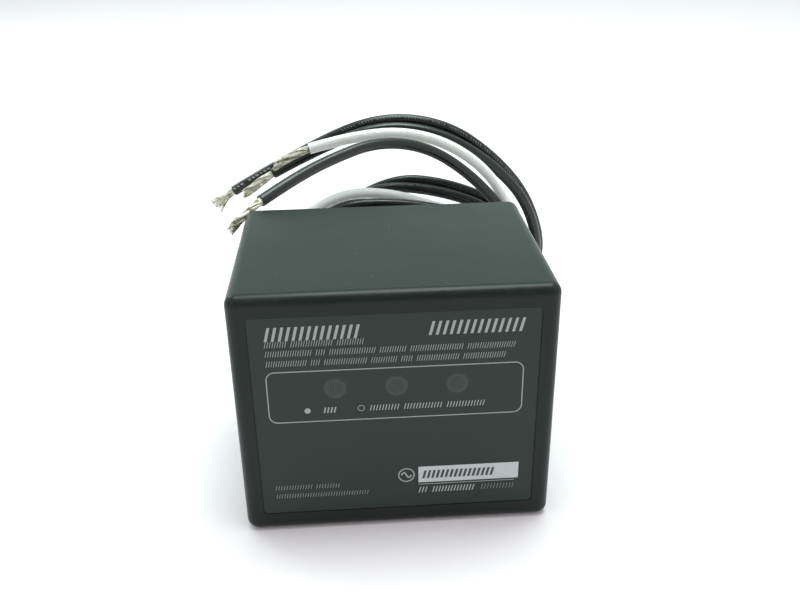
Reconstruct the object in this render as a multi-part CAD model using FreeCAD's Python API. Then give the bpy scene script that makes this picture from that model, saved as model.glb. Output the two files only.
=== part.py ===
import FreeCAD, Part
import math
import os

# Nipple-mounted surge protective device for a three-phase service: a moulded case with a
# board of varistors inside, a threaded nipple on its back, and four flexible leads.
# Axes: +X to the right of the front label, +Y from the label to the nipple, +Z up.
# Origin: middle of the footprint of the case and nipple together, on the standing surface.
# All sizes are in millimetres.

Vec = FreeCAD.Vector

# Case
CASE_W = 76.0
CASE_H = 64.7
CASE_D = 56.3
CASE_EDGE_R = 2.6
WALL = 2.5
COVER_T = 3.0
COVER_GASKET_T = 0.8
COVER_GASKET_LIP = 0.5
COVER_GAP = 0.1
RIM_T = 1.5
CAVITY_R = 1.5

# Front label and its windows
LABEL_W = 67.0
LABEL_H = 54.4
LABEL_T = 0.25
LABEL_RECESS = 0.4
LABEL_R = 1.0
LABEL_GAP = 0.1
WINDOW_R = 2.75
WINDOW_GAP = 0.05
WINDOW_PITCH = 14.3
WINDOW_Z = 40.5
WINDOW_FLANGE_R = 3.8
WINDOW_FLANGE_T = 1.0

# Cover screws and their bosses
BOSS_X = 32.5
BOSS_Z = 27.0
BOSS_R = 3.25
BOSS_PILOT_R = 1.0
COVER_SCREW_R = 1.2
COVER_SCREW_CORE_R = 1.0
COVER_SCREW_HEAD_R = 2.6
COVER_SCREW_HEAD_L = 1.6
COVER_SCREW_L = 12.0
COVER_HOLE_GAP = 0.1
COVER_HEAD_GAP = 0.05
CROSS_W = 0.5
CROSS_L = 2.7
CROSS_DEPTH = 0.8

# Circuit board and its posts
POST_L = 8.0
POST_X = 30.0
POST_Z = 14.0
POST_R = 2.8
BOARD_W = 69.0
BOARD_H = 57.6
BOARD_T = 1.6
BOARD_CORNER_R = 0.5
BOARD_CLEARANCE = 1.0
BOARD_HOLE_GAP = 0.2
BOARD_SCREW_R = 1.0
BOARD_SCREW_HEAD_R = 2.3
BOARD_SCREW_HEAD_L = 1.6
BOARD_SCREW_EDGE_R = 0.6
BOARD_SCREW_L = 7.5
BOARD_PILOT_L = 6.5

# Nipple: 1/2 in trade size, with a collar that fills a 22.2 mm knockout
NIPPLE_REACH = 16.0
NIPPLE_BORE_R = 7.9
NIPPLE_THREAD_R = 10.45
NIPPLE_INNER_R = 9.9
NIPPLE_INNER_L = 9.5
NIPPLE_GAP = 0.05
NIPPLE_CHAMFER = 0.6
COLLAR_R = 10.9
COLLAR_L = 2.0
INNER_GASKET_T = 1.2
INNER_GASKET_R = 13.5
INNER_NUT_T = 4.0
INNER_NUT_FLATS = 26.0

# Washer and locknut on the nipple
RUNNING_GAP = 0.08
WASHER_R = 15.0
WASHER_HOLE_R = 10.6
WASHER_T = 1.5
LOCKNUT_R = 14.2
LOCKNUT_T = 3.6
LOCKNUT_LUGS = 8
LOCKNUT_NOTCH_W = 3.4
LOCKNUT_NOTCH_D = 1.5
STACK_GAP = 0.1

# Leads: 12 AWG stranded conductor, 3.5 mm over the insulation
LEAD_R = 1.75
STRAND_R = 1.15
STRAND_L = 12.5
LEAD_OFFSET = 2.35
BUSHING_L = 9.5
BUSHING_RECESS = 0.5
BUSHING_GAP = 0.02
LEAD_HOLE_GAP = 0.05

# Board components
VARISTOR_R = 12.5
VARISTOR_T = 7.0
VARISTOR_X = 21.0
VARISTOR_Z = 45.5
VARISTOR_LIFT = 1.2
VARISTOR_EDGE_R = 1.5
VARISTOR_LEG_DX = 1.0
VARISTOR_LEG_DZ = 3.75
COMPONENT_LIFT = 0.5
COMPONENT_EDGE_R = 0.3
COMPONENT_LEG_R = 0.4
LEG_PROUD = 1.0
LEG_HOLE_GAP = 0.1
CUTOFF_R = 2.0
CUTOFF_L = 10.0
CUTOFF_SPAN = 14.0
CUTOFF_Z = 25.5
RESISTOR_R = 1.2
RESISTOR_L = 6.3
RESISTOR_SPAN = 10.0
RESISTOR_Z = 6.0
LED_R = 1.5
LED_L = 3.2
LED_FLANGE_R = 1.9
LED_FLANGE_T = 0.8
LED_TIP_GAP = 0.3
LED_LEG_R = 0.25
LED_LEG_PITCH = 2.54
LED_HOLE_GAP = 0.15
TERMINAL_W = 7.0
TERMINAL_H = 8.0
TERMINAL_D = 9.0
TERMINAL_Z = 13.0
TERMINAL_PITCH = 16.0
TERMINAL_EDGE_R = 0.4
TERMINAL_BORE_L = 6.0
TERMINAL_BORE_GAP = 0.1
TERMINAL_PIN_R = 0.6
TERMINAL_PIN_DX = 2.0
TERMINAL_SCREW_R = 1.6
TERMINAL_SCREW_L = 2.0
TERMINAL_SCREW_GAP = 0.05
SLOT_W = 0.5
SLOT_DEPTH = 0.6

# Inner stretch of each lead: where it turns out of the nipple's line, and where it turns
# into its terminal's line, both behind the label face
INNER_TURN_BACK = 40.0
INNER_TURN_FRONT = 29.0
LEAD_CLAMP_GAP = 0.5

# How far cutters run past a face, and joined solids into each other
PAST = 1.0
INTO = 0.5
TOUCH = 0.01
FULL_TURN = 360

# Worked-out places
MID_Z = CASE_H / 2
FRONT = -(CASE_D + NIPPLE_REACH) / 2
BACK = FRONT + CASE_D
NIPPLE_END = BACK + NIPPLE_REACH
EXIT_Y = NIPPLE_END - BUSHING_RECESS
LEDGE = BACK - COVER_T - COVER_GASKET_T
COVER_IN = BACK - COVER_T
BOARD_FRONT = FRONT + WALL + POST_L
BOARD_BACK = BOARD_FRONT + BOARD_T
RIM_W = CASE_W - 2 * RIM_T
RIM_H = CASE_H - 2 * RIM_T
CAVITY_W = CASE_W - 2 * WALL
CAVITY_H = CASE_H - 2 * WALL
WINDOW_XS = (-WINDOW_PITCH, 0.0, WINDOW_PITCH)
VARISTOR_XS = (-VARISTOR_X, 0.0, VARISTOR_X)
CORNER_BOSSES = [(x, MID_Z + z) for x in (-BOSS_X, BOSS_X) for z in (-BOSS_Z, BOSS_Z)]
BOARD_POSTS = [(x, MID_Z + z) for x in (-POST_X, POST_X) for z in (-POST_Z, POST_Z)]
PHASES = ("l1", "l2", "l3")

# Each lead leaves the bushing, makes one turn and a half behind the case while standing on
# the surface, and ends free at the upper left. Points are (x, distance behind the label
# face, z). The first point of each, on the bushing's face, is worked out from the nipple.
SURFACE = LEAD_R
LEAD_ROUTES = {
    "lead_l1": [
        (-2.35, 85, 34.7), (2.5, 101, 28), (11, 111, 14), (24, 112, 7), (39, 111.5, 8),
        (50.5, 111.5, 19.5), (51, 112, 35), (40, 112, 46), (22, 111.5, 53), (5, 111.5, 56.5),
        (-13, 111.5, 49.5), (-28, 112, 39), (-36.5, 112, 24), (-33, 111.5, 10),
        (-19, 111.5, SURFACE), (5, 111, SURFACE), (29, 111.5, SURFACE), (50, 112, 7),
        (59.5, 112, 24), (54, 111.5, 46), (41.5, 111.5, 62), (24, 111.5, 74.3),
        (1, 111.5, 77.5), (-23, 111.5, 68.5), (-47.9, 111, 52.4),
    ],
    "lead_l2": [
        (2.35, 83, 34.7), (5, 97, 27.5), (13, 106.5, 14), (24, 107.5, 7), (38, 107, 8),
        (49, 107, 19), (49, 107.5, 34), (37.5, 107.5, 44.5), (19, 107, 50.8), (3, 107, 54.8),
        (-14, 107, 49), (-28, 107.5, 38.5), (-35.5, 107, 24), (-32.5, 107, 10),
        (-19, 107, SURFACE), (3, 106.5, SURFACE), (26, 107, SURFACE), (47, 107.5, 8.5),
        (57.5, 107.5, 25), (51, 107, 46), (36.5, 107, 61), (21, 107, 71.8), (4, 107, 75.5),
        (-15, 107, 69), (-33.9, 107, 59.3),
    ],
    "lead_l3": [
        (2.35, 80, 30), (4.5, 91, 25.5), (10, 98, 15), (20, 98.5, 7.2), (34, 98, 7.8),
        (45, 98, 18.8), (45.5, 98.5, 33.8), (35, 98.5, 44), (21, 98, 48), (6, 98, 51.3),
        (-11, 98, 51.3), (-25, 98.5, 42.5), (-34, 98, 28), (-33, 98, 12.5),
        (-21, 98, SURFACE), (2, 97.5, SURFACE), (26, 98.5, SURFACE), (45, 99, 10),
        (51.5, 98.5, 27), (44, 98, 45.5), (31, 97, 60.5), (16, 95, 70.8), (0, 90, 73),
        (-15, 80, 72), (-26, 70, 70.2), (-34.5, 61.5, 66.2),
    ],
    "lead_neutral": [
        (-2.35, 81, 30), (0, 94, 25.5), (7, 102, 14.5), (18, 103, 7), (33, 102.5, 7.5),
        (44.5, 102.5, 18.8), (45, 103, 34.5), (34, 103, 45.5), (20, 102.5, 50),
        (6, 102.5, 53.6), (-10, 102.5, 54.6), (-24, 102.5, 48.5), (-34, 103, 37),
        (-36.5, 102.5, 22), (-31, 102.5, 9), (-17, 102.5, SURFACE), (6, 102, SURFACE),
        (28, 103, SURFACE), (46, 103.5, 10.5), (53.5, 103, 28), (46, 102.5, 48),
        (33, 102.5, 62.5), (16, 102.5, 73), (-4, 102.5, 74.3), (-21.3, 101, 69.5),
    ],
}
# Bushing hole of each lead as (side, level), and the place of its terminal along the board.
LEAD_HOLES = {
    "lead_l1": (-1, 1),
    "lead_l2": (1, 1),
    "lead_l3": (1, -1),
    "lead_neutral": (-1, -1),
}
TERMINAL_XS = {
    "lead_l1": -1.5 * TERMINAL_PITCH,
    "lead_neutral": -0.5 * TERMINAL_PITCH,
    "lead_l3": 0.5 * TERMINAL_PITCH,
    "lead_l2": 1.5 * TERMINAL_PITCH,
}


def block(x0, x1, y0, y1, z0, z1):
    return Part.makeBox(x1 - x0, y1 - y0, z1 - z0, Vec(x0, y0, z0))


def plate(width, height, y0, y1, corner_r):
    """Upright plate on the case's middle line, with its four corners rounded."""
    body = block(-width / 2, width / 2, y0, y1, MID_Z - height / 2, MID_Z + height / 2)
    long_edges = [e for e in body.Edges if abs(e.tangentAt(e.FirstParameter).y) > 0.9]
    return body.makeFillet(corner_r, long_edges)


def rod(radius, y0, y1, x=0.0, z=MID_Z):
    return Part.makeCylinder(radius, y1 - y0, Vec(x, y0, z), Vec(0, 1, 0))


def ring(outer_r, inner_r, y0, y1, x=0.0, z=MID_Z):
    return rod(outer_r, y0, y1, x, z).cut(rod(inner_r, y0 - PAST, y1 + PAST, x, z))


def cross_rod(radius, length, x, y, z):
    """Rod along X, centred on x."""
    return Part.makeCylinder(radius, length, Vec(x - length / 2, y, z), Vec(1, 0, 0))


def turned(profile):
    """Solid of revolution about the nipple's axis from (radius, y) corners."""
    corners = [Vec(r, y, MID_Z) for r, y in profile]
    face = Part.Face(Part.makePolygon(corners + corners[:1]))
    return face.revolve(Vec(0, 0, MID_Z), Vec(0, 1, 0), FULL_TURN)


def fused(shapes):
    return shapes[0].multiFuse(shapes[1:]).removeSplitter()


def path_of_arcs(points):
    """Straight runs joined by tangent arcs as large as the runs allow, and their radii."""
    edges = []
    radii = []
    last = points[0]
    for before, corner, after in zip(points, points[1:], points[2:]):
        back_along = (before - corner).normalize()
        forward_along = (after - corner).normalize()
        reach = 0.45 * min(before.distanceToPoint(corner), after.distanceToPoint(corner))
        half_turn = (math.pi - back_along.getAngle(forward_along)) / 2
        radius = reach / math.tan(half_turn)
        inward = (back_along + forward_along).normalize()
        start = corner + back_along * reach
        end = corner + forward_along * reach
        middle = corner + inward * (radius / math.cos(half_turn) - radius)
        edges.append(Part.LineSegment(last, start).toShape())
        edges.append(Part.Arc(start, middle, end).toShape())
        radii.append(radius)
        last = end
    edges.append(Part.LineSegment(last, points[-1]).toShape())
    return Part.Wire(edges), radii


def tube(name, points, radius):
    """Solid round tube along a route, with its radii and volume printed as a test."""
    path, radii = path_of_arcs(points)
    section = Part.Wire(Part.makeCircle(radius, points[0], points[1] - points[0]))
    solid = path.makePipeShell([section], True, False)
    expected = math.pi * radius ** 2 * path.Length
    print(name, "length %.1f" % path.Length, "volume ratio %.4f" % (solid.Volume / expected),
          "smallest radius %.1f" % min(radii), "radii", [round(r) for r in radii])
    return solid


def hole_centre(lead):
    side, level = LEAD_HOLES[lead]
    return side * LEAD_OFFSET, MID_Z + level * LEAD_OFFSET


def lead_route(lead):
    x, z = hole_centre(lead)
    return [Vec(x, EXIT_Y, z)] + [Vec(px, FRONT + py, pz) for px, py, pz in LEAD_ROUTES[lead]]


def housing():
    """Moulded tub, open at the back, with the cover's ledge, bosses, posts and windows."""
    body = block(-CASE_W / 2, CASE_W / 2, FRONT, BACK, 0, CASE_H)
    kept_sharp = [e for e in body.Edges if all(v.Y > BACK - TOUCH for v in e.Vertexes)]
    rounded = [e for e in body.Edges if not any(e.isSame(k) for k in kept_sharp)]
    body = body.makeFillet(CASE_EDGE_R, rounded)
    body = body.cut(plate(CAVITY_W, CAVITY_H, FRONT + WALL, BACK + PAST, CAVITY_R))
    body = body.cut(plate(RIM_W, RIM_H, LEDGE, BACK + PAST, CAVITY_R))
    body = body.cut(plate(LABEL_W, LABEL_H, FRONT - PAST, FRONT + LABEL_RECESS, LABEL_R))
    bosses = [rod(BOSS_R, FRONT + WALL - INTO, LEDGE, x, z) for x, z in CORNER_BOSSES]
    posts = [rod(POST_R, FRONT + WALL - INTO, BOARD_FRONT, x, z) for x, z in BOARD_POSTS]
    body = fused([body] + bosses + posts)
    for x, z in CORNER_BOSSES:
        body = body.cut(rod(BOSS_PILOT_R, LEDGE - COVER_SCREW_L, LEDGE + PAST, x, z))
    for x, z in BOARD_POSTS:
        pilot = rod(BOARD_SCREW_R, BOARD_FRONT - BOARD_PILOT_L, BOARD_FRONT + PAST, x, z)
        body = body.cut(pilot)
    for x in WINDOW_XS:
        hole = rod(WINDOW_R + WINDOW_GAP, FRONT - PAST, FRONT + WALL + PAST, x, WINDOW_Z)
        body = body.cut(hole)
    return body


def front_label():
    back_face = FRONT + LABEL_RECESS
    width = LABEL_W - 2 * LABEL_GAP
    height = LABEL_H - 2 * LABEL_GAP
    sheet = plate(width, height, back_face - LABEL_T, back_face, LABEL_R - LABEL_GAP)
    for x in WINDOW_XS:
        hole = rod(WINDOW_R + WINDOW_GAP, back_face - PAST, back_face + PAST, x, WINDOW_Z)
        sheet = sheet.cut(hole)
    return sheet


def window(x):
    """Light pipe: a disc flush with the label and a flange behind the front wall."""
    flange_front = FRONT + WALL
    stem = rod(WINDOW_R, FRONT + LABEL_RECESS - LABEL_T, flange_front + INTO, x, WINDOW_Z)
    flange = rod(WINDOW_FLANGE_R, flange_front, flange_front + WINDOW_FLANGE_T, x, WINDOW_Z)
    return fused([stem, flange])


def led(x):
    """Domed LED body with its flange and two legs through the board."""
    tip = FRONT + WALL + WINDOW_FLANGE_T + LED_TIP_GAP
    flange_y = tip + LED_R + LED_L
    dome = Part.makeSphere(LED_R, Vec(x, tip + LED_R, WINDOW_Z))
    barrel = rod(LED_R, tip + LED_R, flange_y, x, WINDOW_Z)
    flange = rod(LED_FLANGE_R, flange_y, flange_y + LED_FLANGE_T, x, WINDOW_Z)
    leg_end = BOARD_BACK + LEG_PROUD
    legs = [rod(LED_LEG_R, flange_y, leg_end, lx, lz) for lx, lz in led_legs(x)]
    return fused([dome, barrel, flange] + legs)


def led_legs(x):
    return [(x - LED_LEG_PITCH / 2, WINDOW_Z), (x + LED_LEG_PITCH / 2, WINDOW_Z)]


def round_edges(body, radius):
    circles = [e for e in body.Edges if e.Curve.TypeId == "Part::GeomCircle"]
    return body.makeFillet(radius, circles)


def varistor(x):
    """Coated disc standing on edge behind the board, on two legs."""
    centre_y = BOARD_BACK + VARISTOR_LIFT + VARISTOR_R
    disc = cross_rod(VARISTOR_R, VARISTOR_T, x, centre_y, VARISTOR_Z)
    legs = [rod(COMPONENT_LEG_R, BOARD_FRONT - LEG_PROUD, centre_y, lx, lz)
            for lx, lz in varistor_legs(x)]
    return fused([round_edges(disc, VARISTOR_EDGE_R)] + legs)


def varistor_legs(x):
    return [(x + side * VARISTOR_LEG_DX, VARISTOR_Z + side * VARISTOR_LEG_DZ) for side in (-1, 1)]


def axial_component(radius, length, span, x, z):
    """Cylinder along X held off the board, with its two wires bent down through it."""
    y = BOARD_BACK + radius + COMPONENT_LIFT
    body = round_edges(cross_rod(radius, length, x, y, z), COMPONENT_EDGE_R)
    wire = cross_rod(COMPONENT_LEG_R, span, x, y, z)
    legs = [rod(COMPONENT_LEG_R, BOARD_FRONT - LEG_PROUD, y, lx, lz)
            for lx, lz in axial_legs(span, x, z)]
    knees = [Part.makeSphere(COMPONENT_LEG_R, Vec(lx, y, lz)) for lx, lz in axial_legs(span, x, z)]
    return fused([body, wire] + legs + knees)


def axial_legs(span, x, z):
    return [(x - span / 2, z), (x + span / 2, z)]


def terminal(x):
    """Clamp block on the board: a wire bore from the back and a screw hole on top."""
    half = TERMINAL_W / 2
    low = TERMINAL_Z - TERMINAL_H / 2
    high = TERMINAL_Z + TERMINAL_H / 2
    body = block(x - half, x + half, BOARD_BACK, BOARD_BACK + TERMINAL_D, low, high)
    body = body.makeFillet(TERMINAL_EDGE_R, body.Edges)
    mouth = BOARD_BACK + TERMINAL_D
    bore_r = LEAD_R + TERMINAL_BORE_GAP
    body = body.cut(rod(bore_r, mouth - TERMINAL_BORE_L, mouth + PAST, x, TERMINAL_Z))
    screw_hole = Part.makeCylinder(TERMINAL_SCREW_R + TERMINAL_SCREW_GAP, TERMINAL_H,
                                   Vec(x, mouth - TERMINAL_BORE_L / 2, TERMINAL_Z))
    pins = [rod(TERMINAL_PIN_R, BOARD_FRONT - LEG_PROUD, BOARD_BACK + INTO, px, pz)
            for px, pz in terminal_pins(x)]
    return fused([body.cut(screw_hole)] + pins)


def terminal_pins(x):
    return [(x - TERMINAL_PIN_DX, TERMINAL_Z), (x + TERMINAL_PIN_DX, TERMINAL_Z)]


def terminal_screws():
    """Four slotted clamp screws, each standing on its lead inside the terminal."""
    y = BOARD_BACK + TERMINAL_D - TERMINAL_BORE_L / 2
    low = TERMINAL_Z + LEAD_R
    top = low + TERMINAL_SCREW_L
    screws = []
    for x in TERMINAL_XS.values():
        screw = Part.makeCylinder(TERMINAL_SCREW_R, TERMINAL_SCREW_L, Vec(x, y, low))
        slot = block(x - TERMINAL_SCREW_R - PAST, x + TERMINAL_SCREW_R + PAST,
                     y - SLOT_W / 2, y + SLOT_W / 2, top - SLOT_DEPTH, top + PAST)
        screws.append(screw.cut(slot))
    return Part.makeCompound(screws)


def circuit_board():
    board = plate(BOARD_W, BOARD_H, BOARD_FRONT, BOARD_BACK, BOARD_CORNER_R)
    leg_hole_r = COMPONENT_LEG_R + LEG_HOLE_GAP
    holes = [(x, z, BOSS_R + BOARD_CLEARANCE) for x, z in CORNER_BOSSES]
    holes += [(x, z, BOARD_SCREW_R + BOARD_HOLE_GAP) for x, z in BOARD_POSTS]
    for x in WINDOW_XS:
        holes += [(lx, lz, LED_LEG_R + LED_HOLE_GAP) for lx, lz in led_legs(x)]
        holes += [(lx, lz, leg_hole_r) for lx, lz in axial_legs(RESISTOR_SPAN, x, RESISTOR_Z)]
    for x in VARISTOR_XS:
        holes += [(lx, lz, leg_hole_r) for lx, lz in varistor_legs(x)]
        holes += [(lx, lz, leg_hole_r) for lx, lz in axial_legs(CUTOFF_SPAN, x, CUTOFF_Z)]
    for x in TERMINAL_XS.values():
        holes += [(px, pz, TERMINAL_PIN_R + LEG_HOLE_GAP) for px, pz in terminal_pins(x)]
    cutters = [rod(r, BOARD_FRONT - PAST, BOARD_BACK + PAST, x, z) for x, z, r in holes]
    return board.cut(Part.makeCompound(cutters))


def cross_recess(x, z, head_top):
    """Cutter for a cross recess in a screw's head that faces the back."""
    long = CROSS_L / 2
    thin = CROSS_W / 2
    y0 = head_top - CROSS_DEPTH
    y1 = head_top + PAST
    return fused([block(x - long, x + long, y0, y1, z - thin, z + thin),
                  block(x - thin, x + thin, y0, y1, z - long, z + long)])


def board_screws():
    """Four pan-head screws that hold the board on its posts."""
    screws = []
    head_top = BOARD_BACK + BOARD_SCREW_HEAD_L
    for x, z in BOARD_POSTS:
        head = rod(BOARD_SCREW_HEAD_R, BOARD_BACK, head_top, x, z)
        rim = [e for e in head.Edges if e.BoundBox.YMin > head_top - TOUCH]
        head = head.makeFillet(BOARD_SCREW_EDGE_R, rim)
        shank = rod(BOARD_SCREW_R, BOARD_BACK - BOARD_SCREW_L, BOARD_BACK + INTO, x, z)
        screws.append(fused([head, shank]).cut(cross_recess(x, z, head_top)))
    return Part.makeCompound(screws)


def countersink(x, z, gap):
    """Cone of a flat head whose top is level with the back of the cover, grown by a gap."""
    base = Vec(x, BACK - COVER_SCREW_HEAD_L - gap, z)
    depth = COVER_SCREW_HEAD_L + 2 * gap
    return Part.makeCone(COVER_SCREW_R, COVER_SCREW_HEAD_R + gap, depth, base, Vec(0, 1, 0))


def cover_screws():
    """Four flat-head screws, flush with the back of the cover."""
    screws = []
    head_low = BACK - COVER_SCREW_HEAD_L
    for x, z in CORNER_BOSSES:
        tip = LEDGE - COVER_SCREW_L + PAST
        shank = rod(COVER_SCREW_CORE_R, tip, head_low + INTO, x, z)
        screw = fused([countersink(x, z, 0.0), shank])
        screws.append(screw.cut(cross_recess(x, z, BACK)))
    return Part.makeCompound(screws)


def back_cover():
    cover = plate(RIM_W - 2 * COVER_GAP, RIM_H - 2 * COVER_GAP, COVER_IN, BACK, CAVITY_R)
    cover = cover.cut(rod(NIPPLE_INNER_R + NIPPLE_GAP, COVER_IN - PAST, BACK + PAST))
    for x, z in CORNER_BOSSES:
        cover = cover.cut(cover_screw_hole(x, z))
        cover = cover.cut(countersink(x, z, COVER_HEAD_GAP))
    return cover


def cover_screw_hole(x, z):
    return rod(COVER_SCREW_R + COVER_HOLE_GAP, LEDGE - PAST, BACK + PAST, x, z)


def cover_gasket():
    """Flat frame on the ledge, with an ear round each boss."""
    gasket = plate(RIM_W - 2 * COVER_GAP, RIM_H - 2 * COVER_GAP, LEDGE, COVER_IN, CAVITY_R)
    inside_w = CAVITY_W - 2 * COVER_GASKET_LIP
    inside_h = CAVITY_H - 2 * COVER_GASKET_LIP
    gasket = gasket.cut(plate(inside_w, inside_h, LEDGE - PAST, COVER_IN + PAST, CAVITY_R))
    ears = [rod(BOSS_R, LEDGE, COVER_IN, x, z) for x, z in CORNER_BOSSES]
    gasket = fused([gasket] + ears)
    for x, z in CORNER_BOSSES:
        gasket = gasket.cut(cover_screw_hole(x, z))
    return gasket


def nipple():
    """Tube through the cover: inner thread, collar for the knockout, outer thread."""
    inner_end = BACK - NIPPLE_INNER_L
    return turned([
        (NIPPLE_BORE_R, inner_end),
        (NIPPLE_INNER_R - NIPPLE_CHAMFER, inner_end),
        (NIPPLE_INNER_R, inner_end + NIPPLE_CHAMFER),
        (NIPPLE_INNER_R, BACK),
        (COLLAR_R, BACK),
        (COLLAR_R, BACK + COLLAR_L),
        (NIPPLE_THREAD_R, BACK + COLLAR_L),
        (NIPPLE_THREAD_R, NIPPLE_END - NIPPLE_CHAMFER),
        (NIPPLE_THREAD_R - NIPPLE_CHAMFER, NIPPLE_END),
        (NIPPLE_BORE_R, NIPPLE_END),
    ])


def inner_nut():
    y1 = COVER_IN - INNER_GASKET_T
    y0 = y1 - INNER_NUT_T
    corner_r = INNER_NUT_FLATS / math.sqrt(3)
    corners = [Vec(corner_r * math.cos(math.radians(60 * i + 30)), y0,
                   MID_Z + corner_r * math.sin(math.radians(60 * i + 30))) for i in range(6)]
    hexagon = Part.Face(Part.makePolygon(corners + corners[:1])).extrude(Vec(0, y1 - y0, 0))
    return hexagon.cut(rod(NIPPLE_INNER_R + NIPPLE_GAP, y0 - PAST, y1 + PAST))


def lead_bushing():
    """Moulded plug in the nipple's end, with a close hole for each lead."""
    plug = rod(NIPPLE_BORE_R - BUSHING_GAP, EXIT_Y - BUSHING_L, EXIT_Y)
    for lead in LEAD_ROUTES:
        x, z = hole_centre(lead)
        hole = rod(LEAD_R + LEAD_HOLE_GAP, EXIT_Y - BUSHING_L - PAST, EXIT_Y + PAST, x, z)
        plug = plug.cut(hole)
    return plug


def sealing_washer():
    y0 = BACK + COLLAR_L + STACK_GAP
    return ring(WASHER_R, WASHER_HOLE_R, y0, y0 + WASHER_T)


def locknut():
    """Conduit locknut: a threaded ring with lugs left between notches round its rim."""
    y0 = BACK + COLLAR_L + 2 * STACK_GAP + WASHER_T
    y1 = y0 + LOCKNUT_T
    nut = ring(LOCKNUT_R, NIPPLE_THREAD_R + RUNNING_GAP, y0, y1)
    notch = block(LOCKNUT_R - LOCKNUT_NOTCH_D, LOCKNUT_R + PAST, y0 - PAST, y1 + PAST,
                  MID_Z - LOCKNUT_NOTCH_W / 2, MID_Z + LOCKNUT_NOTCH_W / 2)
    for i in range(LOCKNUT_LUGS):
        cutter = notch.copy()
        cutter.rotate(Vec(0, 0, MID_Z), Vec(0, 1, 0), FULL_TURN * i / LOCKNUT_LUGS)
        nut = nut.cut(cutter)
    return nut


def inner_lead(lead):
    """Stretch of a lead from its terminal, through the nipple, to the bushing's face."""
    x, z = hole_centre(lead)
    terminal_x = TERMINAL_XS[lead]
    mouth = BOARD_BACK + TERMINAL_D
    points = [
        Vec(x, EXIT_Y, z),
        Vec(x, FRONT + INNER_TURN_BACK, z),
        Vec(terminal_x, FRONT + INNER_TURN_FRONT, TERMINAL_Z),
        Vec(terminal_x, mouth - TERMINAL_BORE_L + LEAD_CLAMP_GAP, TERMINAL_Z),
    ]
    return tube(lead + "_inner", points, LEAD_R)


def stripped_end(lead):
    """Bundle of strands that goes straight on from the end of the insulation."""
    route = lead_route(lead)
    along = route[-1] - route[-2]
    return Part.makeCylinder(STRAND_R, STRAND_L, route[-1], along)


def save(name, shape):
    shape.exportStep("parts/" + name + ".step")
    print(name, "solids", len(shape.Solids), "volume %.1f" % shape.Volume, "valid", shape.isValid())


def main():
    os.makedirs("parts", exist_ok=True)
    save("housing", housing())
    save("front_label", front_label())
    save("back_cover", back_cover())
    save("cover_gasket", cover_gasket())
    save("cover_screws", cover_screws())
    save("nipple", nipple())
    gasket_front = COVER_IN - INNER_GASKET_T
    save("nipple_gasket", ring(INNER_GASKET_R, NIPPLE_INNER_R + NIPPLE_GAP, gasket_front, COVER_IN))
    save("inner_nut", inner_nut())
    save("lead_bushing", lead_bushing())
    save("sealing_washer", sealing_washer())
    save("locknut", locknut())
    save("circuit_board", circuit_board())
    save("board_screws", board_screws())
    for phase, window_x, varistor_x in zip(PHASES, WINDOW_XS, VARISTOR_XS):
        save("window_" + phase, window(window_x))
        save("led_" + phase, led(window_x))
        save("varistor_" + phase, varistor(varistor_x))
        save("thermal_cutoff_" + phase,
             axial_component(CUTOFF_R, CUTOFF_L, CUTOFF_SPAN, varistor_x, CUTOFF_Z))
        save("resistor_" + phase,
             axial_component(RESISTOR_R, RESISTOR_L, RESISTOR_SPAN, window_x, RESISTOR_Z))
    save("terminal_screws", terminal_screws())
    for lead in LEAD_ROUTES:
        save(lead.replace("lead", "terminal"), terminal(TERMINAL_XS[lead]))
        save(lead + "_inner", inner_lead(lead))
        save(lead, tube(lead, lead_route(lead), LEAD_R))
        save(lead + "_strands", stripped_end(lead))


main()
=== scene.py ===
import math
import random

import bmesh
import bpy
from mathutils import Matrix, Vector


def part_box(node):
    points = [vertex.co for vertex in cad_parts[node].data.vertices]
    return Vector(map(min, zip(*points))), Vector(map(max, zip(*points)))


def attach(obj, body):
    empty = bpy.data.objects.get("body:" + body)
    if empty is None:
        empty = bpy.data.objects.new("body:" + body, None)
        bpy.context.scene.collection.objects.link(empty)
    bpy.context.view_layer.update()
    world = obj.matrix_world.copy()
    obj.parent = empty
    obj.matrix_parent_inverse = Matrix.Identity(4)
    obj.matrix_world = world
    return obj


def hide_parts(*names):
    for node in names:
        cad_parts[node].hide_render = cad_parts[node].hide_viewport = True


# Looks of a nipple-mounted surge protective device: moulded case with a printed front label
# and three status windows, threaded nipple with its locknut, and four flexible leads.
# Lengths are in metres. +X is to the right of the label, +Y from the label to the nipple.

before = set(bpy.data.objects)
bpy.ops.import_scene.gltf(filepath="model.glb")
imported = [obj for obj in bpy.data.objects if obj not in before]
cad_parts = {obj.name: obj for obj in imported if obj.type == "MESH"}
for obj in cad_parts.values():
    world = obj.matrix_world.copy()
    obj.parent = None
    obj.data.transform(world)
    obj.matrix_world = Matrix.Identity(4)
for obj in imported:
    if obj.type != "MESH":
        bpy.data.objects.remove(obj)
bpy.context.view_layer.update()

MM = 0.001
FULL_TURN = 2 * math.pi
case_low, case_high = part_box("housing")
nipple_low, nipple_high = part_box("nipple")
nut_low, nut_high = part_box("locknut")
FRONT = case_low.y
BACK = case_high.y
MID_Z = (case_low.z + case_high.z) / 2
COVER_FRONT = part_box("back_cover")[0].y
LABEL_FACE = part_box("front_label")[0].y
PHASES = ("l1", "l2", "l3")
window_boxes = [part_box("window_" + phase) for phase in PHASES]
WINDOW_XS = [(low.x + high.x) / 2 for low, high in window_boxes]
WINDOW_Z = (window_boxes[0][0].z + window_boxes[0][1].z) / 2
EXIT_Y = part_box("lead_bushing")[1].y
NIPPLE_END = nipple_high.y


# ------------ camera

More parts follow.
